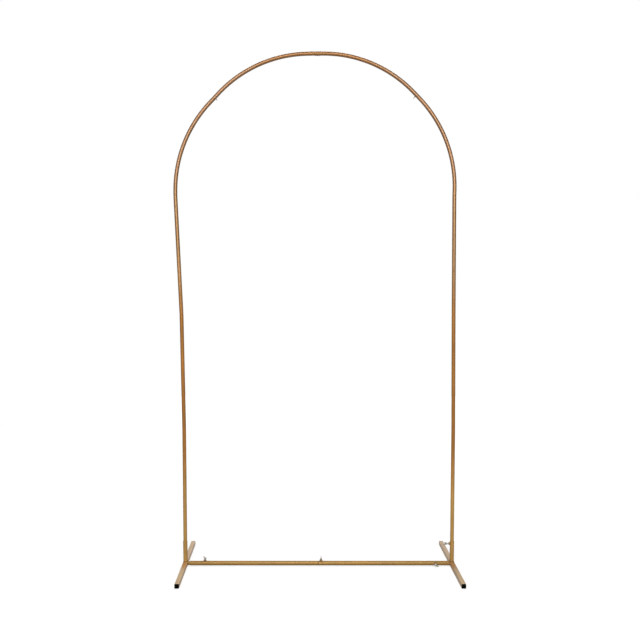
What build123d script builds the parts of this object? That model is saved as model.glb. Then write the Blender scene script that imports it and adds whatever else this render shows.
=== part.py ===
from build123d import *
import os
from math import atan2, cos, pi, radians, sin, sqrt

# A free-standing round-topped arch of thin steel tube, in millimetres.
# X runs along the base bar, Y from front to back, Z up from the floor.
# The origin is on the floor, midway between the two feet.

# Overall layout
POST_SPACING = 1067.0       # between the axes of the two uprights
CROWN_HEIGHT = 2000.0       # floor to the top of the arch tube
FOOT_LENGTH = 375.0         # front to back over the end caps
FOOT_TURN = 2.0             # degrees that each foot is welded out of square with the bar

# Tube stock
POST_OD = 15.0              # uprights and arch sections
POST_WALL = 0.8
BAR_WALL = 0.8              # base bar, and the sockets that hold the uprights
FOOT_SIZE = 17.0            # square tube
FOOT_WALL = 1.0
FOOT_CORNER = 1.8           # outside corner radius of the square tube

# Arch sections: four alike, each one bend with a straight end on both sides
END_STRAIGHT = 22.4

# Joints between tubes
SLIP = 0.3                  # radial clearance of a tube in the tube that holds it
SEAM_GAP = 1.5              # between a tube's shoulder and the rim of the next one
SPIGOT_LENGTH = 20.0        # swaged tip that goes into the next tube
SPIGOT_ROOT = 4.0           # how far the swage reaches back into its own tube
SPIGOT_CONE = 1.2           # length of the step down to the tip
SPIGOT_SKIN = 0.3           # of its own tube's wall that stays outside the swage's root
SPIGOT_NOSE = 0.4           # bevel on the tip
SEAT_GAP = 0.3              # where one piece rests on another

# Foot fittings
SOCKET_HEIGHT = 82.0        # upright's socket, above the foot
STUB_LENGTH = 78.0          # stub on the foot that the base bar slides over
BAR_END_GAP = 6.0           # bare stub between the foot and the end of the bar
BAR_SEAM_X = -2.5           # where the two halves of the bar meet
BAR_DRIFT = 4.5             # how far the bar's ends have slid along the stubs, towards +X
CAP_FLANGE = 2.5
CAP_INSERT = 12.0
CAP_EDGE = 0.6
CAP_WALL = 1.6
LEAST_CORNER = 0.2          # inside corner radius of the square tube, where the wall takes up the rest

# Wing bolts and the nuts welded to the tubes
BOLT_R = 2.9
THREAD_SLIP = 0.1           # radial clearance of the bolt in its nut
HOLE_SLIP = 0.4             # radial clearance of the bolt in the tube's wall
NUT_FLATS = 10.0
NUT_HEIGHT = 5.0
NUT_SEAT = 0.05             # between the nut's saddle and the tube
TIP_GAP = 0.3               # between the bolt's tip and the tube that it holds
HUB_R = 4.6
HUB_HEIGHT = 4.5
HUB_TAPER = 6.0             # degrees
NECK = 1.0                  # bare shank between the nut and the hub of a bolt that is screwed home
NECK_LOOSE = 7.0            # the same on the one at the right-hand socket, which is backed out
NECK_FRONT = 2.0            # the same on the one at the front of the bar
WING_REACH = 8.2            # hub axis to the centre of the wing's round end
WING_RISE = 8.8             # hub base to the centre of the wing's round end
WING_END_R = 3.0
WING_ROOT_SET = 2.0         # hub axis to the centre of the wing's root
WING_ROOT_R = 2.6
WING_THICK = 2.2

# Where the bolts sit
SOCKET_BOLT_DROP = 10.0     # below the socket's rim
BAR_BOLT_FROM_TIP = 13.0    # from the end of the stub inside the bar
FRONT_BOLT_SET = 2.4        # how much further in along its stub the bolt at the front sits
SEAM_BOLT_FROM_TIP = 8.0    # from the end of the swaged tip
ARCH_BOLT_FROM_TIP = 11.0   # the same in the arch

# How the bolts are turned, in degrees
ACROSS = 90.0               # wings across the tube; 0 is along it
LEFT_BAR_TURN = -48.0
RIGHT_BAR_TURN = -20.0
RIGHT_SOCKET_TURN = -40.0
LEFT_HAUNCH_TILT = 100.0    # from straight inward, past the back
RIGHT_HAUNCH_TILT = 90.0    # straight back

# How the push-fit joints have settled, as offsets from their nominal places
LEFT_POST_DRIFT = (3.6, 0.8, -14.8)      # X of the two inner joints and the shoulder
RIGHT_POST_DRIFT = (-2.6, -8.8, -13.4)
LEFT_HAUNCH_DRIFT = (-21.0, -13.6)       # X and Z of the joint halfway up the left side
RIGHT_HAUNCH_DRIFT = (-1.4, -4.3)
CROWN_DRIFT = (-16.6, -2.4)

# Worked out from the sizes above
BAR_OD = POST_OD + 2 * (SLIP + BAR_WALL)
POST_R = POST_OD / 2
BAR_R = BAR_OD / 2
HALF_SPACING = POST_SPACING / 2
FOOT_TOP = FOOT_SIZE
BAR_Z = max(FOOT_SIZE / 2, BAR_R)       # the bar lies clear of the floor
RIM_Z = FOOT_TOP + SOCKET_HEIGHT
SOCKET_BOLT_Z = RIM_Z - SOCKET_BOLT_DROP
CAP_FACE = FOOT_LENGTH / 2
FOOT_HALF = CAP_FACE - CAP_FLANGE
SLOPE = pi / 4              # each of the four arch sections turns by an eighth of a circle
BEND_RADIUS = HALF_SPACING - END_STRAIGHT * (1 + 2 * sin(SLOPE))
HAUNCH_SPAN = BEND_RADIUS * sin(SLOPE) + END_STRAIGHT * (1 + cos(SLOPE))
CROWN_Z = CROWN_HEIGHT - POST_R - CROWN_DRIFT[1]
SHOULDER_Z = CROWN_Z - HALF_SPACING
SECTION_HEIGHT = (SHOULDER_Z - RIM_Z) / len(LEFT_POST_DRIFT)
SEAM_BOLT_SET = SPIGOT_LENGTH - SEAM_BOLT_FROM_TIP
ARCH_BOLT_SET = SPIGOT_LENGTH - ARCH_BOLT_FROM_TIP
BAR_BOLT_FROM_FOOT = STUB_LENGTH - BAR_BOLT_FROM_TIP


def point(x, z):
    """A point in the plane of the arch."""
    return Vector(x, 0, z)


def joints(side, post_drift, haunch_drift):
    """Joint centres of one side, from the middle of the socket up to the haunch."""
    x = side * HALF_SPACING
    low = point(x, FOOT_TOP + SOCKET_HEIGHT / 2)
    inner = [point(x + d, RIM_Z + SECTION_HEIGHT * (i + 1)) for i, d in enumerate(post_drift)]
    haunch = point(side * HAUNCH_SPAN + haunch_drift[0], SHOULDER_Z + HAUNCH_SPAN + haunch_drift[1])
    return [low] + inner + [haunch]


LEFT = joints(-1, LEFT_POST_DRIFT, LEFT_HAUNCH_DRIFT)
RIGHT = joints(1, RIGHT_POST_DRIFT, RIGHT_HAUNCH_DRIFT)
CROWN = point(CROWN_DRIFT[0], CROWN_Z + CROWN_DRIFT[1])


def along(start, direction):
    """A location at start whose Z axis points along direction, which lies in the arch's plane or across it."""
    across = (1, 0, 0) if abs(direction.Y) > 0.5 else (0, 1, 0)
    return Location(Plane(origin=start, x_dir=across, z_dir=direction))


def tube(start, end, od, wall):
    """A straight tube between two points on its axis."""
    run = end - start
    ring = Circle(od / 2) - Circle(od / 2 - wall)
    return along(start, run) * extrude(ring, run.length)


def spigot(start, direction, od, wall):
    """The swaged tip of a tube: a stepped sleeve, in line with the tube that it goes into."""
    root = od / 2 - SPIGOT_SKIN
    tip = od / 2 - wall - SLIP
    bore = tip - wall
    outline = Polyline(
        (bore, -SPIGOT_ROOT), (root, -SPIGOT_ROOT), (root, 0), (tip, SPIGOT_CONE),
        (tip, SPIGOT_LENGTH - SPIGOT_NOSE), (tip - SPIGOT_NOSE, SPIGOT_LENGTH), (bore, SPIGOT_LENGTH),
        close=True)
    face = make_face(Plane.XZ * outline)
    return along(start, direction) * revolve(face, Axis.Z)


def bolt_hole(centre, outward, od):
    """A round cutter from the tube's axis out through one wall."""
    return along(centre, outward) * extrude(Circle(BOLT_R + HOLE_SLIP), od)


class Bend:
    """One arch section between two joints: straight, bend, straight, always turning left."""

    def __init__(self, start, end):
        run = end - start
        reach = END_STRAIGHT + BEND_RADIUS * sin(SLOPE)
        rise = BEND_RADIUS * (1 - cos(SLOPE))
        across = reach * cos(SLOPE) + rise * sin(SLOPE)
        self.last = -across + sqrt(across ** 2 - reach ** 2 - rise ** 2 + run.length ** 2)
        lean = atan2(rise + self.last * sin(SLOPE), reach + self.last * cos(SLOPE))
        self.heading = atan2(run.Z, run.X) - lean
        self.start = start
        self.end = end

    def direction(self, turned):
        """Unit vector along the section after turning by an angle in radians."""
        a = self.heading + turned
        return Vector(cos(a), 0, sin(a))

    def centreline(self):
        first = self.start + self.direction(0) * END_STRAIGHT
        last = self.end - self.direction(SLOPE) * self.last
        middle = first + self.direction(SLOPE / 4) * (2 * BEND_RADIUS * sin(SLOPE / 4))
        return self.start, first, middle, last, self.end


def bent_tube(section, start_gap, end_gap):
    """The tube of one arch section, held back from its joints by the gaps."""
    start, first, middle, last, end = section.centreline()
    start = start + section.direction(0) * start_gap
    end = end - section.direction(SLOPE) * end_gap
    path = Line(start, first) + ThreePointArc(first, middle, last) + Line(last, end)
    plane = Plane(origin=start, x_dir=(0, 1, 0), z_dir=section.direction(0))
    ring = plane * (Circle(POST_OD / 2) - Circle(POST_OD / 2 - POST_WALL))
    return sweep(ring, path=path)


def mirrored(p):
    return point(-p.X, p.Z)


def flip(shape):
    return mirror(shape, about=Plane.YZ)


def seat(centre, outward, run):
    """A location on a tube's axis with Z pointing outward and X along the tube."""
    return Location(Plane(origin=centre, x_dir=run, z_dir=outward))


def wing_bolt(centre, outward, run, spin, host_r, held_r, neck):
    """A butterfly-headed bolt that points at the tube's axis."""
    tip = held_r + TIP_GAP
    hub_base = host_r + NUT_HEIGHT + neck
    shank = Pos(0, 0, tip) * extrude(Circle(BOLT_R), hub_base - tip)
    hub = Pos(0, 0, hub_base) * extrude(Circle(HUB_R), HUB_HEIGHT, taper=HUB_TAPER)
    root = Pos(WING_ROOT_SET, WING_ROOT_R) * Circle(WING_ROOT_R)
    end = Pos(WING_REACH, WING_RISE) * Circle(WING_END_R)
    ear = extrude(Plane.XZ * make_hull(root.edges() + end.edges()), WING_THICK / 2, both=True)
    wings = Pos(0, 0, hub_base) * (ear + ear.rotate(Axis.Z, 180))
    return seat(centre, outward, run) * Rot(0, 0, spin) * (shank + hub + wings)


def weld_nut(centre, outward, run, host_r):
    """A hexagon nut saddled on the tube and welded to it."""
    hexagon = RegularPolygon(NUT_FLATS / 2, 6, major_radius=False) - Circle(BOLT_R + THREAD_SLIP)
    saddle_depth = NUT_FLATS / 2
    block = Pos(0, 0, host_r - saddle_depth) * extrude(hexagon, NUT_HEIGHT + saddle_depth)
    block = seat(centre, outward, run) * block
    reach = run * (NUT_FLATS * 2)
    host = along(centre - reach, run) * extrude(Circle(host_r + NUT_SEAT), reach.length * 2)
    return block - host


parts = {}

# Feet: square tube with a plug in each end
skin = RectangleRounded(FOOT_SIZE, FOOT_SIZE, FOOT_CORNER)
bore_size = FOOT_SIZE - 2 * FOOT_WALL
bore_corner = max(FOOT_CORNER - FOOT_WALL, LEAST_CORNER)
bore = RectangleRounded(bore_size, bore_size, bore_corner)
foot_profile = Plane.XZ * (skin - bore)
plug_size = bore_size - 2 * SLIP
plug = RectangleRounded(plug_size, plug_size, bore_corner)
plug_hollow = Rectangle(plug_size - 2 * CAP_WALL, plug_size - 2 * CAP_WALL)
foot_tube = extrude(foot_profile, FOOT_HALF, both=True)
flange = extrude(Plane.XZ * skin, CAP_FLANGE)
flange = chamfer(flange.faces().sort_by(Axis.Y)[0].edges(), CAP_EDGE)
cap = flange + extrude(Plane.XZ * (plug - plug_hollow), -CAP_INSERT)
front_cap = Pos(0, -FOOT_HALF, 0) * cap
back_cap = front_cap.rotate(Axis.Z, 180)

SIDES = (("left", -1, LEFT), ("right", 1, RIGHT))
for side, sign, chain in SIDES:
    foot_place = Pos(sign * HALF_SPACING, 0, FOOT_SIZE / 2) * Rot(0, 0, FOOT_TURN)
    parts[side + "_foot"] = foot_place * foot_tube
    parts[side + "_foot_front_cap"] = foot_place * front_cap
    parts[side + "_foot_back_cap"] = foot_place * back_cap

    # The socket stands on the foot, and the stub sticks out of its inner side
    x = sign * HALF_SPACING
    rim = point(x, RIM_Z)
    outward = Vector(-1, 0, 0) if side == "right" else Vector(0, 1, 0)
    bolt_at = point(x, SOCKET_BOLT_Z)
    socket = tube(point(x, FOOT_TOP), rim, BAR_OD, BAR_WALL)
    parts[side + "_post_socket"] = socket - bolt_hole(bolt_at, outward, BAR_OD)
    inner_face = x - sign * FOOT_SIZE / 2 / cos(radians(FOOT_TURN))
    stub = tube(point(x, BAR_Z), point(inner_face - sign * STUB_LENGTH, BAR_Z), POST_OD, POST_WALL)
    foot_block = foot_place * Box(FOOT_SIZE, FOOT_LENGTH, FOOT_SIZE)
    parts[side + "_bar_stub"] = stub - foot_block

    # Three upright sections, each swaged at the top
    low, first, second, shoulder, haunch = chain
    lean = (first - low).normalized()
    bottom = low - lean * (SOCKET_HEIGHT / 2 - SEAT_GAP)
    levels = (("lower", bottom, first), ("middle", first, second), ("upper", second, shoulder))
    for i, (name, start, end) in enumerate(levels):
        direction = (end - start).normalized()
        begin = start if i == 0 else start + direction * SEAM_GAP
        body = tube(begin, end, POST_OD, POST_WALL)
        if i < 2:
            follow = (levels[i + 1][2] - end).normalized()
        else:
            follow = Bend(shoulder if side == "right" else mirrored(shoulder),
                          haunch if side == "right" else mirrored(haunch)).direction(0)
            follow = follow if side == "right" else mirrored(follow)
        parts[side + "_upright_" + name] = body + spigot(end, follow, POST_OD, POST_WALL)

# Arch sections, worked out on the right and flipped for the left
right_low = Bend(RIGHT[3], RIGHT[4])
right_top = Bend(RIGHT[4], CROWN)
left_low = Bend(mirrored(LEFT[3]), mirrored(LEFT[4]))
left_top = Bend(mirrored(LEFT[4]), mirrored(CROWN))
crown_direction = right_top.direction(SLOPE) * -1
parts["arch_right_lower"] = bent_tube(right_low, SEAM_GAP, 0) + spigot(
    RIGHT[4], right_top.direction(0), POST_OD, POST_WALL)
parts["arch_right_upper"] = bent_tube(right_top, SEAM_GAP, SEAM_GAP)
parts["arch_left_lower"] = flip(bent_tube(left_low, SEAM_GAP, 0) + spigot(
    mirrored(LEFT[4]), left_top.direction(0), POST_OD, POST_WALL))
parts["arch_left_upper"] = flip(bent_tube(left_top, SEAM_GAP, 0)) + spigot(
    CROWN, crown_direction, POST_OD, POST_WALL)

# Base bar: the left half ends in a swaged tip inside the right half
seam = point(BAR_SEAM_X, BAR_Z)
bar_end = HALF_SPACING - FOOT_SIZE / 2 - BAR_END_GAP
east = Vector(1, 0, 0)
parts["base_bar_left"] = tube(point(BAR_DRIFT - bar_end, BAR_Z), seam, BAR_OD, BAR_WALL) + spigot(
    seam, east, BAR_OD, BAR_WALL)
parts["base_bar_right"] = tube(seam + east * SEAM_GAP, point(BAR_DRIFT + bar_end, BAR_Z), BAR_OD, BAR_WALL)


up = Vector(0, 0, 1)
front = Vector(0, -1, 0)
rear = Vector(0, 1, 0)
west = Vector(-1, 0, 0)
bar_bolt_x = HALF_SPACING - FOOT_SIZE / 2 - BAR_BOLT_FROM_FOOT
left_run = mirrored(left_top.direction(0))
right_run = right_top.direction(0)
left_inward = Vector(left_run.Z, 0, -left_run.X)
right_inward = Vector(-right_run.Z, 0, right_run.X)
tip_r = POST_R - POST_WALL - SLIP
bar_tip_r = BAR_R - BAR_WALL - SLIP


def tilted(inward, degrees):
    """A direction turned from straight inward towards the back."""
    return inward * cos(radians(degrees)) + rear * sin(radians(degrees))


# name, host node, centre, outward direction, tube direction, wing turn, host radius, held radius, neck
BOLTS = (
    ("bar_left", "base_bar_left", point(BAR_DRIFT - bar_bolt_x, BAR_Z), up, east, LEFT_BAR_TURN,
     BAR_R, POST_R, NECK),
    ("bar_middle", "base_bar_right", seam + east * SEAM_BOLT_SET, up, east, ACROSS,
     BAR_R, bar_tip_r, NECK),
    ("bar_right", "base_bar_right", point(BAR_DRIFT + bar_bolt_x + FRONT_BOLT_SET, BAR_Z), front, east,
     RIGHT_BAR_TURN, BAR_R, POST_R, NECK_FRONT),
    ("left_socket", None, point(-HALF_SPACING, SOCKET_BOLT_Z), rear, up, 0,
     BAR_R, POST_R, NECK),
    ("right_socket", None, point(HALF_SPACING, SOCKET_BOLT_Z), west, up, RIGHT_SOCKET_TURN,
     BAR_R, POST_R, NECK_LOOSE),
    ("left_haunch", "arch_left_upper", LEFT[4] + left_run * ARCH_BOLT_SET, tilted(left_inward, LEFT_HAUNCH_TILT),
     left_run, ACROSS, POST_R, tip_r, NECK),
    ("right_haunch", "arch_right_upper", RIGHT[4] + right_run * ARCH_BOLT_SET,
     tilted(right_inward, RIGHT_HAUNCH_TILT), right_run, ACROSS, POST_R, tip_r, NECK),
    ("crown", "arch_right_upper", CROWN + crown_direction * SEAM_BOLT_SET, rear, crown_direction, 0,
     POST_R, tip_r, NECK),
)
for name, host, centre, outward, run, spin, host_r, held_r, neck in BOLTS:
    if host:
        parts[host] = parts[host] - bolt_hole(centre, outward, host_r * 2)
    parts["wing_bolt_" + name] = wing_bolt(centre, outward, run, spin, host_r, held_r, neck)
    parts["weld_nut_" + name] = weld_nut(centre, outward, run, host_r)

os.makedirs("parts", exist_ok=True)
for name, shape in parts.items():
    export_step(shape, "parts/" + name + ".step")
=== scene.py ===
"""Looks of a gold-painted tube arch stand. Lengths are in metres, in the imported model's frame."""
from math import atan2, cos, pi, radians, sin, sqrt

import bmesh
import bpy
from mathutils import Matrix, Vector, noise


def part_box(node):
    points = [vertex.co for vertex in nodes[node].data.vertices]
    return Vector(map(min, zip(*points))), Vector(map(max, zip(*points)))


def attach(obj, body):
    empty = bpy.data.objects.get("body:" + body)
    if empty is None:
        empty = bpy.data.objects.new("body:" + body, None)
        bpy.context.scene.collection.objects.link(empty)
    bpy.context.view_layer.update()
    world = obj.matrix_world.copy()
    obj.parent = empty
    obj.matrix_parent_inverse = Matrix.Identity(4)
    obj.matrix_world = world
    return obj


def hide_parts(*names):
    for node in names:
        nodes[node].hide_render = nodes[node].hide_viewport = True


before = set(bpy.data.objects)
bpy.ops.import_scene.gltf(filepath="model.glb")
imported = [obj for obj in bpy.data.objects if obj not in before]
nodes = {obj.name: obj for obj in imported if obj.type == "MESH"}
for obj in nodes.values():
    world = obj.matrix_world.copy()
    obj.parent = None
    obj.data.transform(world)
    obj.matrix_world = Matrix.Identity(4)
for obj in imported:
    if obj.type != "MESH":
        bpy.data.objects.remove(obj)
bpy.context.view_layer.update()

# Sizes read from the CAD
bar_low, bar_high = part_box("base_bar_left")
stub_low, stub_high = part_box("left_bar_stub")
FOOT_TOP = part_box("left_foot")[1].z
BAR_R = (bar_high.z - bar_low.z) / 2
BAR_Z = (bar_high.z + bar_low.z) / 2
POST_R = (stub_high.z - stub_low.z) / 2

# Bolts: threaded shank, hub and wings
THREAD_R = 0.0029
THREAD_PITCH = 0.0010
THREAD_DEPTH = 0.0005
THREAD_ROWS = 7             # rows of points in one turn of the thread
THREAD_FADE = 4             # rows over which the thread runs out at the tip
SHANK_SIDES = 24
HUB_R = 0.0046
HUB_TOP_R = 0.0039
HUB_HEIGHT = 0.0045
HUB_ROUND = 0.0007
HUB_CORE = 0.5              # where the hub's base starts, as a share of its radius
HUB_SIDES = 40
ROUND_STEPS = 4             # steps in a quarter circle
WING_REACH = 0.0082
WING_RISE = 0.0088
WING_END_R = 0.0029
WING_END_STEPS = 24
WING_ROOT_SET = 0.0020
WING_ROOT_R = 0.0025
WING_ROOT_STEPS = 12
WING_THICK = 0.0022
WING_SWELL = 0.0007         # extra thickness at the wing's root
# The wing's rings of points: share of its outline, and share of half its thickness
WING_LEVELS = ((0.90, -1.0), (0.97, -0.72), (1.0, 0.0), (0.97, 0.72), (0.90, 1.0))
CAST_VOXEL = 0.00032
CAST_SOFTEN = 0.5
CAST_ROUNDS = 5
WING_RIM = 0.995            # points this far out, as a share of the reach, lie on the wings' rims

# Nuts
NUT_FLATS = 0.0100
NUT_HEIGHT = 0.0050
NUT_CHAMFER = radians(28)
NUT_CROWN = 0.97            # radius of the chamfer's circle, as a share of half the flats
NUT_LEVELS = (0.0, 0.5, 0.80, 0.88, 0.94, 1.0)      # shares of the nut's height
NUT_SIDES = 96
NUT_SINK = 0.0001           # how far the nut's base goes into the tube
NUT_BORE = 0.0030
BORE_EDGE = 0.0004
BORE_SINK = 0.0006

# Weld beads
POST_BEAD = 0.0016
POST_BEAD_STEPS = 110
POST_BEAD_LIFT = 0.0002
CORNER_DROP = 0.0010        # how far the bead sags where the foot's edges round off
CORNER_SHARPNESS = 8
CORNER_DRAW = 0.6           # how far it draws in there, as a share of the sag
STUB_BEAD = 0.0010
STUB_BEAD_STEPS = 76
STUB_BEAD_SET = 0.0004
STUB_BEAD_FROM = radians(-38)
STUB_BEAD_SWEEP = radians(256)
NUT_BEAD = 0.0008
NUT_BEAD_STEPS = 84
NUT_BEAD_SET = 0.25         # how far out the nut's bead lies, as a share of its radius
BEAD_SIDES = 10
BEAD_HEIGHT = 0.8           # height of a bead as a share of its width
BEAD_RIPPLE = 0.10
RIPPLE = 0.0011             # spacing of a weld's ripples
BEAD_LUMP = 0.16
LUMP_SCALE = 900.0
BEAD_END = 0.35             # size of an open bead at its very end
BEAD_END_GROWTH = 0.25      # how much it grows with each step from there

# The bar's seam, with painted shade in its gap and a little either side
SEAM_GAP = 0.0015
SEAM_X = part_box("base_bar_right")[0].x - SEAM_GAP / 2
SEAM_EDGE, SEAM_FADE, SEAM_SPAN = 0.0009, 0.0022, 0.02

# Camera
CAMERA_PLACE = (0.0055, -2.421, 1.175)
CAMERA_DOWN = radians(4.458)
CAMERA_LENS = 35.12
CAMERA_SENSOR = 36.0

# Lamps: name, place, target, width, height, watts
LAMPS = (
    ("softbox_front", (-0.05, -3.2, 2.30), (0.0, 0.0, 1.0), 2.8, 1.3, 156),
    ("softbox_back", (0.0, 2.6, 4.4), (0.0, 0.0, 0.8), 3.2, 1.6, 110),
)

# Materials: the scale of each noise
CLOUD, STREAKS, FLAKE, SCUFFS, PEEL = 9.0, 160.0, 2600.0, 70.0, 420.0
PLASTIC_GRAIN, PLASTIC_RUBS = 1800.0, 120.0
ZINC_GRAIN, ZINC_MOTTLE = 2400.0, 260.0
# Two places in a noise, with how light the paint is at each, or how far it is scuffed
CLOUD_LEVELS = ((0.30, 0.86), (0.70, 1.10))
STREAK_LEVELS = ((0.30, 0.88), (0.70, 1.06))
FLAKE_LEVELS = ((0.60, 1.0), (0.72, 1.25))
SCUFF_LEVELS = ((0.66, 0.0), (0.78, 0.5))
STREAK_RUN = 0.03           # scale along the tube, which makes the streaks long
# Roughness from the lowest to the highest of a noise, then strength and depth of a bump
PAINT_ROUGH, PLASTIC_ROUGH, ZINC_ROUGH = (0.32, 0.44), (0.42, 0.62), (0.30, 0.48)
PEEL_BUMP, PLASTIC_BUMP, ZINC_BUMP = (0.25, 0.0003), (0.35, 0.0002), (0.3, 0.0002)
PAINT_IOR, PLASTIC_IOR = 1.45, 1.20
PLASTIC_SHINE = 0.1
ZINC_METAL = 0.7

# Floor and background
FLOOR_FRONT, FLOOR_BACK, FLOOR_SIDE, FLOOR_Z = -1.3, 3.4, 2.4, -0.0002
FLOOR_GREY = (0.48, 0.48, 0.48, 1.0)
GLOW_NEAR, GLOW_FAR = 0.7, 4.0          # distances from the origin between which the glow grows
GLOW_LEAST, GLOW_MOST = 0.53, 0.90
GLOW_SHEEN = 0.12                       # share of the glow that shows in reflections
WHITE = (1.0, 1.0, 1.0, 1.0)
FILL = 0.28                             # what the background gives to matt surfaces
SHEEN_SIDES, SHEEN_BEHIND = 0.05, 1.0   # what it gives to reflections
BEHIND_FROM, BEHIND_TO = 0.80, 0.92     # share of a direction that points back, at the change


def link(obj):
    bpy.context.scene.collection.objects.link(obj)
    return obj


def made(name, verts, faces, smooth=True):
    """A mesh object from lists of points and faces."""
    mesh = bpy.data.meshes.new(name)
    mesh.from_pydata([tuple(v) for v in verts], [], faces)
    mesh.validate()
    bm = bmesh.new()
    bm.from_mesh(mesh)
    bmesh.ops.recalc_face_normals(bm, faces=bm.faces)
    bm.to_mesh(mesh)
    bm.free()
    for poly in mesh.polygons:
        poly.use_smooth = smooth
    return link(bpy.data.objects.new(name, mesh))


# Materials
def shader(name):
    mat = bpy.data.materials.new(name)
    mat.use_nodes = True
    tree = mat.node_tree
    return mat, tree, tree.nodes["Principled BSDF"]


def add(tree, kind, **values):
    """A new node; each value goes to its property or, if it has none, to its input."""
    node = tree.nodes.new(kind)
    for key, value in values.items():
        if hasattr(node, key):
            setattr(node, key, value)
        else:
            node.inputs[key.replace("_", " ")].default_value = value
    return node


def feed(tree, value, place):
    """Links a socket to an input, or sets the input to a number or a colour."""
    if isinstance(value, bpy.types.NodeSocket):
        tree.links.new(value, place)
    else:
        place.default_value = (*value, 1.0) if isinstance(value, tuple) else value


def object_coords(tree):
    return add(tree, "ShaderNodeTexCoord").outputs["Object"]


def noise_at(tree, coords, scale, stretch=(1, 1, 1), detail=3.0, rough=0.5):
    """Noise in the object's own coordinates, stretched along an axis where asked."""
    mapping = add(tree, "ShaderNodeMapping")
    mapping.inputs["Scale"].default_value = stretch
    tree.links.new(coords, mapping.inputs["Vector"])
    tex = add(tree, "ShaderNodeTexNoise", Scale=scale, Detail=detail, Roughness=rough)
    tree.links.new(mapping.outputs["Vector"], tex.inputs["Vector"])
    return tex.outputs["Fac"]


def grey(level):
    return (level, level, level)


def ramp(tree, source, stops):
    """A colour ramp through (place, colour) pairs."""
    node = add(tree, "ShaderNodeValToRGB")
    elements = node.color_ramp.elements
    while len(elements) < len(stops):
        elements.new(0.5)
    for element, (place, colour) in zip(elements, stops):
        element.position = place
        element.color = (*colour, 1.0)
    tree.links.new(source, node.inputs["Fac"])
    return node.outputs["Color"]


def map_range(tree, source, to_range, from_range=(0.0, 1.0)):
    """Maps a value from one range, clamped, to another."""
    node = add(tree, "ShaderNodeMapRange")
    node.inputs["From Min"].default_value, node.inputs["From Max"].default_value = from_range
    node.inputs["To Min"].default_value, node.inputs["To Max"].default_value = to_range
    tree.links.new(source, node.inputs["Value"])
    return node.outputs["Result"]


def mix(tree, factor, a, b, blend="MIX"):
    """Mixes two colours."""
    node = add(tree, "ShaderNodeMix", data_type="RGBA", blend_type=blend)
    feed(tree, factor, node.inputs[0])
    feed(tree, a, node.inputs[6])
    feed(tree, b, node.inputs[7])
    return node.outputs[2]


def mix_levels(tree, factor, a, b):
    """Mixes two numbers."""
    node = add(tree, "ShaderNodeMix", data_type="FLOAT")
    feed(tree, factor, node.inputs[0])
    feed(tree, a, node.inputs[2])
    feed(tree, b, node.inputs[3])
    return node.outputs[0]


def work_out(tree, operation, a, b):
    """One step of arithmetic on two numbers."""
    node = add(tree, "ShaderNodeMath", operation=operation)
    feed(tree, a, node.inputs[0])
    feed(tree, b, node.inputs[1])
    return node.outputs[0]


def levels_of(tree, pattern, levels):
    """A pattern as greys, from (place, level) pairs."""
    return ramp(tree, pattern, [(place, grey(level)) for place, level in levels])


def shaded(tree, base, pattern, levels):
    """A colour, darkened and lightened by a pattern."""
    return mix(tree, 1.0, base, levels_of(tree, pattern, levels), "MULTIPLY")


def bump(tree, bsdf, height, strength, distance):
    node = add(tree, "ShaderNodeBump", Strength=strength, Distance=distance)
    tree.links.new(height, node.inputs["Height"])
    tree.links.new(node.outputs["Normal"], bsdf.inputs["Normal"])


def paint(name, tones, dull, run=(1, 1, 1), shine=0.5, metal=0.40, axis="Z"):
    """Metallic gold paint, cloudy from the spray gun, with fine flake, orange peel and scuffs.

    The tones are (place, colour) pairs along an axis; where they change along it, they are painted
    light and shade. Run stretches the streaks.
    """
    mat, tree, bsdf = shader(name)
    coords = object_coords(tree)
    split = add(tree, "ShaderNodeSeparateXYZ")
    tree.links.new(coords, split.inputs[0])
    first, last = tones[0][0], tones[-1][0]
    share = map_range(tree, split.outputs[axis], (0.0, 1.0), (first, last))
    stops = [((place - first) / (last - first), colour) for place, colour in tones]
    base = ramp(tree, share, stops)
    cloud = noise_at(tree, coords, CLOUD, detail=4.0)
    base = shaded(tree, base, cloud, CLOUD_LEVELS)
    streak = noise_at(tree, coords, STREAKS, stretch=run, detail=3.0, rough=0.6)
    base = shaded(tree, base, streak, STREAK_LEVELS)
    flake = noise_at(tree, coords, FLAKE, detail=1.0)
    base = shaded(tree, base, flake, FLAKE_LEVELS)
    scuff = noise_at(tree, coords, SCUFFS, detail=6.0, rough=0.7)
    base = mix(tree, levels_of(tree, scuff, SCUFF_LEVELS), base, dull)
    tree.links.new(base, bsdf.inputs["Base Color"])
    tree.links.new(map_range(tree, cloud, PAINT_ROUGH), bsdf.inputs["Roughness"])
    peel = noise_at(tree, coords, PEEL, detail=2.0)
    bump(tree, bsdf, peel, *PEEL_BUMP)
    bsdf.inputs["Metallic"].default_value = metal
    bsdf.inputs["IOR"].default_value = PAINT_IOR
    bsdf.inputs["Specular IOR Level"].default_value = shine
    return mat


def plastic(name):
    """Moulded black plastic with a fine grain and a few greyed rubs."""
    mat, tree, bsdf = shader(name)
    coords = object_coords(tree)
    grain = noise_at(tree, coords, PLASTIC_GRAIN, detail=2.0)
    rub = noise_at(tree, coords, PLASTIC_RUBS, detail=5.0, rough=0.65)
    tree.links.new(ramp(tree, rub, PLASTIC_TONES), bsdf.inputs["Base Color"])
    tree.links.new(map_range(tree, rub, PLASTIC_ROUGH), bsdf.inputs["Roughness"])
    bump(tree, bsdf, grain, *PLASTIC_BUMP)
    bsdf.inputs["IOR"].default_value = PLASTIC_IOR
    bsdf.inputs["Specular IOR Level"].default_value = PLASTIC_SHINE
    return mat


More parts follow.
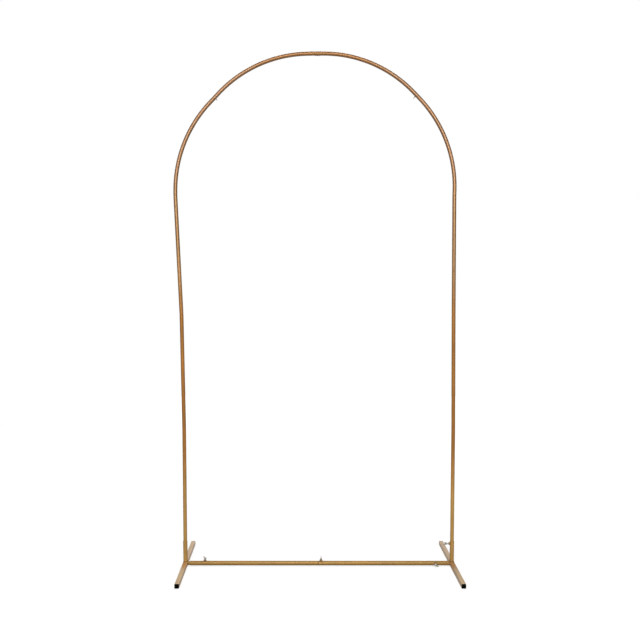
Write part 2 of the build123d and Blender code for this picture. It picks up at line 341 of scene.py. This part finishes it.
def zinc(name):
    """Zinc-plated casting: slightly mottled, with a sandy grain."""
    mat, tree, bsdf = shader(name)
    coords = object_coords(tree)
    mottle = noise_at(tree, coords, ZINC_MOTTLE, detail=4.0)
    tree.links.new(ramp(tree, mottle, ZINC_TONES), bsdf.inputs["Base Color"])
    tree.links.new(map_range(tree, mottle, ZINC_ROUGH), bsdf.inputs["Roughness"])
    grain = noise_at(tree, coords, ZINC_GRAIN, detail=2.0)
    bump(tree, bsdf, grain, *ZINC_BUMP)
    bsdf.inputs["Metallic"].default_value = ZINC_METAL
    return mat


# One gold paint, in tones that hold painted light and shade. Up the posts and arch: paler and
# yellower low down, painted floor reflection; darker from the tops of the posts over the arch,
# darkest at the crown, painted shade that holds back the lamps' light and highlight there.
ROSE = (0.250, 0.130, 0.060)
CROWN = (0.235, 0.108, 0.036)
UPPER = (0.360, 0.190, 0.072)
TOP = (0.270, 0.140, 0.052)
BROWN = (0.390, 0.166, 0.038)
YELLOW = (0.455, 0.256, 0.070)
# The bar's darker tone is painted shade, holding back the light it gets from above.
BAR_TONE = (0.280, 0.153, 0.033)
# The feet: paler than the other tubes, painted reflection of the bright background on their tops;
# paler still behind the post, painted light; browner round the socket and the bar's stub, painted
# shade.
PALE = (0.465, 0.330, 0.190)
PALE_REAR = (0.580, 0.420, 0.280)
SOCKET_SHADE = (0.480, 0.250, 0.095)
# Dark brown on the weld beads, which sit in the corners where the tubes meet, partly painted shade
# of those corners; on the nuts it is the colour of their scuffs.
WELD = (0.150, 0.080, 0.032)
# Painted shade for the bar's seam: darkens its gap and a little either side of it.
SEAM_SHADE = (0.125, 0.067, 0.027)
NUT_TONE = (0.340, 0.200, 0.090)
DULL_GOLD = (0.230, 0.130, 0.060)
POST_TONES = [(0.05, YELLOW), (0.26, YELLOW), (0.48, BROWN), (1.00, BROWN),
              (1.16, UPPER), (1.36, TOP), (1.50, TOP)]
ARCH_TONES = [(1.44, TOP), (1.56, ROSE), (1.92, ROSE), (1.97, CROWN), (2.00, CROWN)]
FOOT_TONES = [(-0.19, PALE), (-0.075, PALE), (-0.045, SOCKET_SHADE), (0.0, SOCKET_SHADE),
              (0.02, PALE_REAR), (0.19, PALE_REAR)]
# Along the bar: its tone, with painted shade in the seam's gap and a little either side.
BAR_TONES = [(SEAM_X - SEAM_SPAN, BAR_TONE), (SEAM_X - SEAM_FADE, BAR_TONE),
             (SEAM_X - SEAM_EDGE, SEAM_SHADE), (SEAM_X + SEAM_EDGE, SEAM_SHADE),
             (SEAM_X + SEAM_FADE, BAR_TONE), (SEAM_X + SEAM_SPAN, BAR_TONE)]
PLASTIC_TONES = [(0.50, grey(0.0010)), (0.85, (0.006, 0.005, 0.004))]
ZINC_TONES = [(0.30, (0.36, 0.34, 0.30)), (0.70, (0.58, 0.56, 0.50))]
gold_upright = paint("gold_paint_upright", POST_TONES, DULL_GOLD, run=(1, 1, STREAK_RUN))
gold_bar = paint("gold_paint_bar", BAR_TONES, DULL_GOLD, run=(STREAK_RUN, 1, 1), axis="X")
gold_foot = paint("gold_paint_foot", FOOT_TONES, DULL_GOLD, run=(1, STREAK_RUN, 1),
                  shine=0.3, metal=0.15, axis="Y")
gold_arch = paint("gold_paint_arch", ARCH_TONES, DULL_GOLD, shine=0.4)
gold_nut = paint("gold_paint_nut", [(0.0, NUT_TONE), (1.0, NUT_TONE)], WELD)
gold_weld = paint("gold_paint_weld", [(0.0, WELD), (1.0, WELD)], WELD)
black_plastic = plastic("black_plug_plastic")
zinc_steel = zinc("zinc_plated_steel")


def dress(obj, mat):
    """Gives every material slot of an object the one material."""
    if not obj.material_slots:
        obj.data.materials.append(mat)
    for slot in obj.material_slots:
        slot.material = mat


for name, obj in nodes.items():
    if "cap" in name:
        dress(obj, black_plastic)
    elif name.startswith("wing_bolt"):
        dress(obj, zinc_steel)
    elif "foot" in name:
        dress(obj, gold_foot)
    elif name.startswith("base_bar") or "stub" in name:
        dress(obj, gold_bar)
    elif name.startswith("arch"):
        dress(obj, gold_arch)
    else:
        dress(obj, gold_upright)


def settle(obj, mat, slot, *replaced):
    """Finishes one new piece: material, body, and the nodes that it stands for, which it hides. The
    slot argument is not used.
    """
    dress(obj, mat)
    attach(obj, "root")
    if replaced:
        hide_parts(*replaced)


# Shapes made of rings of points
def circle(radius, height, sides):
    turns = [2 * pi * k / sides for k in range(sides)]
    return [Vector((radius * cos(a), radius * sin(a), height)) for a in turns]


def ring_faces(rows, cols, closed_rows=False):
    """Faces between rings of points, and from the last ring to the first if asked."""
    faces = []
    for i in range(rows if closed_rows else rows - 1):
        for k in range(cols):
            below, above = i * cols, (i + 1) % rows * cols
            faces.append((below + k, below + (k + 1) % cols, above + (k + 1) % cols, above + k))
    return faces


def end_faces(rows, cols):
    return [tuple(range(cols)), tuple((rows - 1) * cols + k for k in range(cols))]


def joined(*shapes):
    verts, faces = [], []
    for v, f in shapes:
        faces += [tuple(i + len(verts) for i in face) for face in f]
        verts += v
    return verts, faces


# Weld beads
def bead(name, path, outward, radius, closed=True):
    """A rippled weld bead along points, each with the direction that the bead faces."""
    count = len(path)
    verts = []
    run = 0.0
    for i, p in enumerate(path):
        before = path[i - 1] if closed or i > 0 else p
        after = path[(i + 1) % count] if closed or i < count - 1 else p
        ahead = (after - before).normalized()
        face = (outward[i] - ahead * outward[i].dot(ahead)).normalized()
        across = ahead.cross(face)
        run += (p - before).length
        ripple = BEAD_RIPPLE * sin(2 * pi * run / RIPPLE)
        lump = 1.0 + ripple + BEAD_LUMP * noise.noise(p * LUMP_SCALE)
        from_end = min(i, count - 1 - i)
        ends = 1.0 if closed else min(1.0, BEAD_END + BEAD_END_GROWTH * from_end)
        r = radius * lump * ends
        for k in range(BEAD_SIDES):
            a = 2 * pi * k / BEAD_SIDES
            verts.append(p + face * (cos(a) * r * BEAD_HEIGHT) + across * (sin(a) * r))
    faces = ring_faces(count, BEAD_SIDES, closed)
    if not closed:
        faces += end_faces(count, BEAD_SIDES)
    settle(made(name, verts, faces), gold_weld, "gold_paint")


def socket_bead(side):
    """The bead round the foot of a socket, sagging where the foot's edges round off."""
    low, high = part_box(side + "_post_socket")
    x, y = ((low + high) / 2).xy
    ring, facing = [], []
    for i in range(POST_BEAD_STEPS):
        a = 2 * pi * i / POST_BEAD_STEPS
        drop = CORNER_DROP * cos(a) ** CORNER_SHARPNESS
        ring.append(Vector((x + (BAR_R - drop * CORNER_DRAW) * cos(a), y + BAR_R * sin(a),
                            FOOT_TOP + POST_BEAD_LIFT - drop)))
        facing.append(Vector((cos(a), sin(a), 1.0)))
    bead("weld_%s_post_socket" % side, ring, facing, POST_BEAD)


def stub_bead(side):
    """The bead round the root of a stub, open on the underside."""
    low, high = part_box(side + "_bar_stub")
    inner, face_x = (1, low.x) if side == "left" else (-1, high.x)
    ring, facing = [], []
    for i in range(STUB_BEAD_STEPS):
        a = STUB_BEAD_FROM + STUB_BEAD_SWEEP * i / (STUB_BEAD_STEPS - 1)
        ring.append(Vector((face_x + inner * STUB_BEAD_SET,
                            POST_R * cos(a), BAR_Z + POST_R * sin(a))))
        facing.append(Vector((inner, cos(a), sin(a))))
    bead("weld_%s_bar_stub" % side, ring, facing, STUB_BEAD, closed=False)


for side in ("left", "right"):
    socket_bead(side)
    stub_bead(side)


# Wing bolts, cast in one with their hubs, and the nuts that they screw through
def area_centre(obj):
    total, weight = Vector(), 0.0
    for poly in obj.data.polygons:
        total += poly.center * poly.area
        weight += poly.area
    return total / weight


def hub():
    """Points and faces of the turned hub, with rounded edges."""
    rows = [(HUB_R * HUB_CORE, 0.0), (HUB_R - HUB_ROUND, 0.0)]
    for i in range(1, ROUND_STEPS + 1):
        a = pi / 2 * i / ROUND_STEPS
        rows.append((HUB_R - HUB_ROUND + HUB_ROUND * sin(a), HUB_ROUND - HUB_ROUND * cos(a)))
    for i in range(ROUND_STEPS + 1):
        a = pi / 2 * i / ROUND_STEPS
        rows.append((HUB_TOP_R - HUB_ROUND + HUB_ROUND * cos(a),
                     HUB_HEIGHT - HUB_ROUND + HUB_ROUND * sin(a)))
    verts = [v for r, z in rows for v in circle(r, z, HUB_SIDES)]
    return verts, ring_faces(len(rows), HUB_SIDES) + end_faces(len(rows), HUB_SIDES)


def wing_outline():
    """Outline of one wing, the hull of its root and its round end, as (reach, rise) pairs."""
    dx, dz = WING_REACH - WING_ROOT_SET, WING_RISE - WING_ROOT_R
    lean = atan2(dz, dx)
    open_angle = pi / 2 + (WING_END_R - WING_ROOT_R) / sqrt(dx * dx + dz * dz)
    points = []
    for i in range(WING_END_STEPS + 1):
        a = lean - open_angle + 2 * open_angle * i / WING_END_STEPS
        points.append((WING_REACH + WING_END_R * cos(a), WING_RISE + WING_END_R * sin(a)))
    for i in range(WING_ROOT_STEPS + 1):
        a = lean + open_angle + (2 * pi - 2 * open_angle) * i / WING_ROOT_STEPS
        points.append((WING_ROOT_SET + WING_ROOT_R * cos(a), WING_ROOT_R + WING_ROOT_R * sin(a)))
    return points


def wing(sign):
    """Points and faces of one wing: thick at the root, rounded all along its rim."""
    outline = wing_outline()
    count = len(outline)
    middle = Vector((sum(p[0] for p in outline) / count, sum(p[1] for p in outline) / count))
    verts = []
    for shrink, side in WING_LEVELS:
        for x, z in outline:
            p = middle + (Vector((x, z)) - middle) * shrink
            swell = WING_THICK / 2 + WING_SWELL * max(0.0, 1.0 - p.x / WING_REACH)
            verts.append(Vector((sign * p.x, side * swell, p.y)))
    return verts, ring_faces(len(WING_LEVELS), count) + end_faces(len(WING_LEVELS), count)


def cast_head():
    """The mesh of one head, remeshed so that the wings flow into the hub."""
    draft = made("head_draft", *joined(hub(), wing(1), wing(-1)))
    remesh = draft.modifiers.new("cast", "REMESH")
    remesh.mode = "VOXEL"
    remesh.voxel_size = CAST_VOXEL
    soften = draft.modifiers.new("soften", "CORRECTIVE_SMOOTH")
    soften.smooth_type = "SIMPLE"
    soften.factor = CAST_SOFTEN
    soften.iterations = CAST_ROUNDS
    soften.use_only_smooth = True
    bpy.context.view_layer.update()
    shape = draft.evaluated_get(bpy.context.evaluated_depsgraph_get())
    mesh = bpy.data.meshes.new_from_object(shape)
    bpy.data.objects.remove(draft)
    mesh.name = "cast_head"
    return mesh


def threaded(start, end):
    """Points and faces of a threaded shank between two heights."""
    rows = max(2, int((end - start) / (THREAD_PITCH / THREAD_ROWS)) + 1)
    verts = []
    for i in range(rows):
        z = start + (end - start) * i / (rows - 1)
        fade = min(1.0, i / THREAD_FADE)
        for k in range(SHANK_SIDES):
            turn = (z / THREAD_PITCH - k / SHANK_SIDES) % 1.0
            r = THREAD_R - THREAD_DEPTH * abs(2 * turn - 1) * fade
            a = 2 * pi * k / SHANK_SIDES
            verts.append(Vector((r * cos(a), r * sin(a), z)))
    return verts, ring_faces(rows, SHANK_SIDES) + end_faces(rows, SHANK_SIDES)


def hexagon(angle):
    """Distance from the nut's centre to its side at an angle."""
    return NUT_FLATS / 2 / cos(angle % (pi / 3) - pi / 6)


def nut_shape(host_r):
    """A chamfered nut saddled on a tube along X; heights are from the tube's axis."""
    face = host_r + NUT_HEIGHT
    rows = []
    for level in NUT_LEVELS:
        row = []
        for k in range(NUT_SIDES):
            a = 2 * pi * k / NUT_SIDES
            r = hexagon(a)
            base = sqrt(max(host_r ** 2 - (r * sin(a)) ** 2, 0.0)) - NUT_SINK
            z = base + (face - base) * level
            chamfer = (face - z) / sin(NUT_CHAMFER) * cos(NUT_CHAMFER)
            r = min(r, NUT_FLATS / 2 * NUT_CROWN + chamfer)
            row.append(Vector((r * cos(a), r * sin(a), z)))
        rows.append(row)
    rows.append(circle(NUT_BORE + BORE_EDGE, face, NUT_SIDES))
    rows.append(circle(NUT_BORE, face - BORE_EDGE, NUT_SIDES))
    rows.append(circle(NUT_BORE, host_r - BORE_SINK, NUT_SIDES))
    return [v for row in rows for v in row], ring_faces(len(rows), NUT_SIDES)


def turned(x, y, z):
    """The turn that takes the three axes to three directions."""
    return Matrix((x, y, z)).transposed().to_4x4()


def fit_head(name, bolt, on_axis, out, head_mesh):
    """Puts a cast head and a threaded shank where the CAD bolt is."""
    heights = [(v.co - on_axis).dot(out) for v in bolt.data.vertices]
    flat = [(v.co - on_axis) - out * (v.co - on_axis).dot(out) for v in bolt.data.vertices]
    far = max(flat, key=lambda p: p.length)
    rim = [p for p in flat if p.length > far.length * WING_RIM]
    side = sum((p if p.dot(far) > 0 else -p for p in rim), Vector()).normalized()
    along = turned(side, out.cross(side), out)
    hub_base = max(heights) - WING_RISE - WING_END_R
    head = link(bpy.data.objects.new("wing_head_" + name, head_mesh.copy()))
    head.data.transform(Matrix.Translation(on_axis + out * hub_base) @ along)
    for poly in head.data.polygons:
        poly.use_smooth = True
    settle(head, zinc_steel, "zinc_steel", "wing_bolt_" + name)
    verts, faces = threaded(min(heights), hub_base + HUB_ROUND * 2)
    place = Matrix.Translation(on_axis) @ along
    shank = made("bolt_shank_" + name, [place @ v for v in verts], faces)
    settle(shank, zinc_steel, "zinc_steel")


def fit_nut(name, nut, on_axis, out, run, host_r):
    """Puts a chamfered nut, two of its corners in line with the tube, and its weld bead."""
    nut_face = max((v.co - on_axis).dot(out) for v in nut.data.vertices)
    run = (run - out * run.dot(out)).normalized()
    axis_point = on_axis + out * (nut_face - NUT_HEIGHT - host_r)
    place = Matrix.Translation(axis_point) @ turned(run, out.cross(run), out)
    verts, faces = nut_shape(host_r)
    body = made("nut_" + name, [place @ v for v in verts], faces, smooth=False)
    settle(body, gold_nut, "gold_paint", "weld_nut_" + name)
    ring, facing = [], []
    for i in range(NUT_BEAD_STEPS):
        a = 2 * pi * i / NUT_BEAD_STEPS
        r = hexagon(a) + NUT_BEAD * NUT_BEAD_SET
        base = sqrt(max(host_r ** 2 - (r * sin(a)) ** 2, 0.0))
        ring.append(place @ Vector((r * cos(a), r * sin(a), base)))
        facing.append(place.to_3x3() @ Vector((cos(a), sin(a), 1.0)))
    bead("weld_nut_bead_" + name, ring, facing, NUT_BEAD)


head_mesh = cast_head()
# Which way the tube runs under a bolt; without an entry, it is the arch's tube there
TUBE_RUNS = {"bar_left": (1, 0, 0), "bar_middle": (1, 0, 0), "bar_right": (1, 0, 0),
             "left_socket": (0, 0, 1), "right_socket": (0, 0, 1), "crown": (1, 0, 0)}
ON_ARCH = ("left_haunch", "right_haunch", "crown")
for name in sorted(n[len("wing_bolt_"):] for n in nodes if n.startswith("wing_bolt_")):
    bolt, nut = nodes["wing_bolt_" + name], nodes["weld_nut_" + name]
    on_axis = area_centre(nut)
    out = (area_centre(bolt) - on_axis).normalized()
    run = Vector(TUBE_RUNS.get(name, out.cross(Vector((0, 1, 0)))))
    fit_head(name, bolt, on_axis, out, head_mesh)
    fit_nut(name, nut, on_axis, out, run, POST_R if name in ON_ARCH else BAR_R)


# Floor, world and lamps
def seen_by_camera(tree, path):
    through = path.outputs["Is Transmission Ray"]
    return work_out(tree, "MAXIMUM", path.outputs["Is Camera Ray"], through)


def camera_white(tree, base):
    """Adds plain white to a shader for what the camera sees, directly or in a reflection."""
    reach = add(tree, "ShaderNodeVectorMath", operation="LENGTH")
    tree.links.new(object_coords(tree), reach.inputs[0])
    level = map_range(tree, reach.outputs["Value"], (GLOW_LEAST, GLOW_MOST), (GLOW_NEAR, GLOW_FAR))
    path = add(tree, "ShaderNodeLightPath")
    sheen = work_out(tree, "MULTIPLY", path.outputs["Is Glossy Ray"], GLOW_SHEEN)
    both = work_out(tree, "MAXIMUM", seen_by_camera(tree, path), sheen)
    glow = add(tree, "ShaderNodeEmission")
    tree.links.new(work_out(tree, "MULTIPLY", both, level), glow.inputs["Strength"])
    total = add(tree, "ShaderNodeAddShader")
    tree.links.new(base, total.inputs[0])
    tree.links.new(glow.outputs[0], total.inputs[1])
    return total.outputs[0]


corners = ((-FLOOR_SIDE, FLOOR_FRONT), (FLOOR_SIDE, FLOOR_FRONT),
           (FLOOR_SIDE, FLOOR_BACK), (-FLOOR_SIDE, FLOOR_BACK))
floor = made("floor", [Vector((x, y, FLOOR_Z)) for x, y in corners], [(0, 1, 2, 3)], smooth=False)
floor_mat, tree, plain = shader("studio_floor")
tree.nodes.remove(plain)
matt = add(tree, "ShaderNodeBsdfDiffuse", Color=FLOOR_GREY)
surface = tree.nodes["Material Output"].inputs["Surface"]
tree.links.new(camera_white(tree, matt.outputs[0]), surface)
floor.data.materials.append(floor_mat)

# The background is white to the camera, and in reflections bright only behind the stand
world = bpy.data.worlds.new("studio")
bpy.context.scene.world = world
world.use_nodes = True
tree = world.node_tree
path = add(tree, "ShaderNodeLightPath")
direction = add(tree, "ShaderNodeTexCoord").outputs["Generated"]
split = add(tree, "ShaderNodeSeparateXYZ")
tree.links.new(direction, split.inputs[0])
backward = split.outputs["Y"]
behind = map_range(tree, backward, (SHEEN_SIDES, SHEEN_BEHIND), (BEHIND_FROM, BEHIND_TO))
glossy = mix_levels(tree, path.outputs["Is Glossy Ray"], FILL, behind)
level = mix_levels(tree, seen_by_camera(tree, path), glossy, 1.0)
background = tree.nodes["Background"]
background.inputs["Color"].default_value = WHITE
tree.links.new(level, background.inputs["Strength"])


def lamp(name, place, target, width, height, watts):
    """A rectangular softbox that faces its target."""
    light = bpy.data.lights.new(name, "AREA")
    light.shape = "RECTANGLE"
    light.size = width
    light.size_y = height
    light.energy = watts
    obj = link(bpy.data.objects.new(name, light))
    obj.location = place
    aim = Vector(target) - Vector(place)
    obj.rotation_euler = aim.to_track_quat("-Z", "Y").to_euler()


for row in LAMPS:
    lamp(*row)

camera = bpy.data.cameras.new("camera")
camera.sensor_width = CAMERA_SENSOR
camera.lens = CAMERA_LENS
view = link(bpy.data.objects.new("camera", camera))
view.location = CAMERA_PLACE
view.rotation_euler = (pi / 2 - CAMERA_DOWN, 0.0, 0.0)
bpy.context.scene.camera = view
bpy.context.scene.view_settings.view_transform = "Standard"
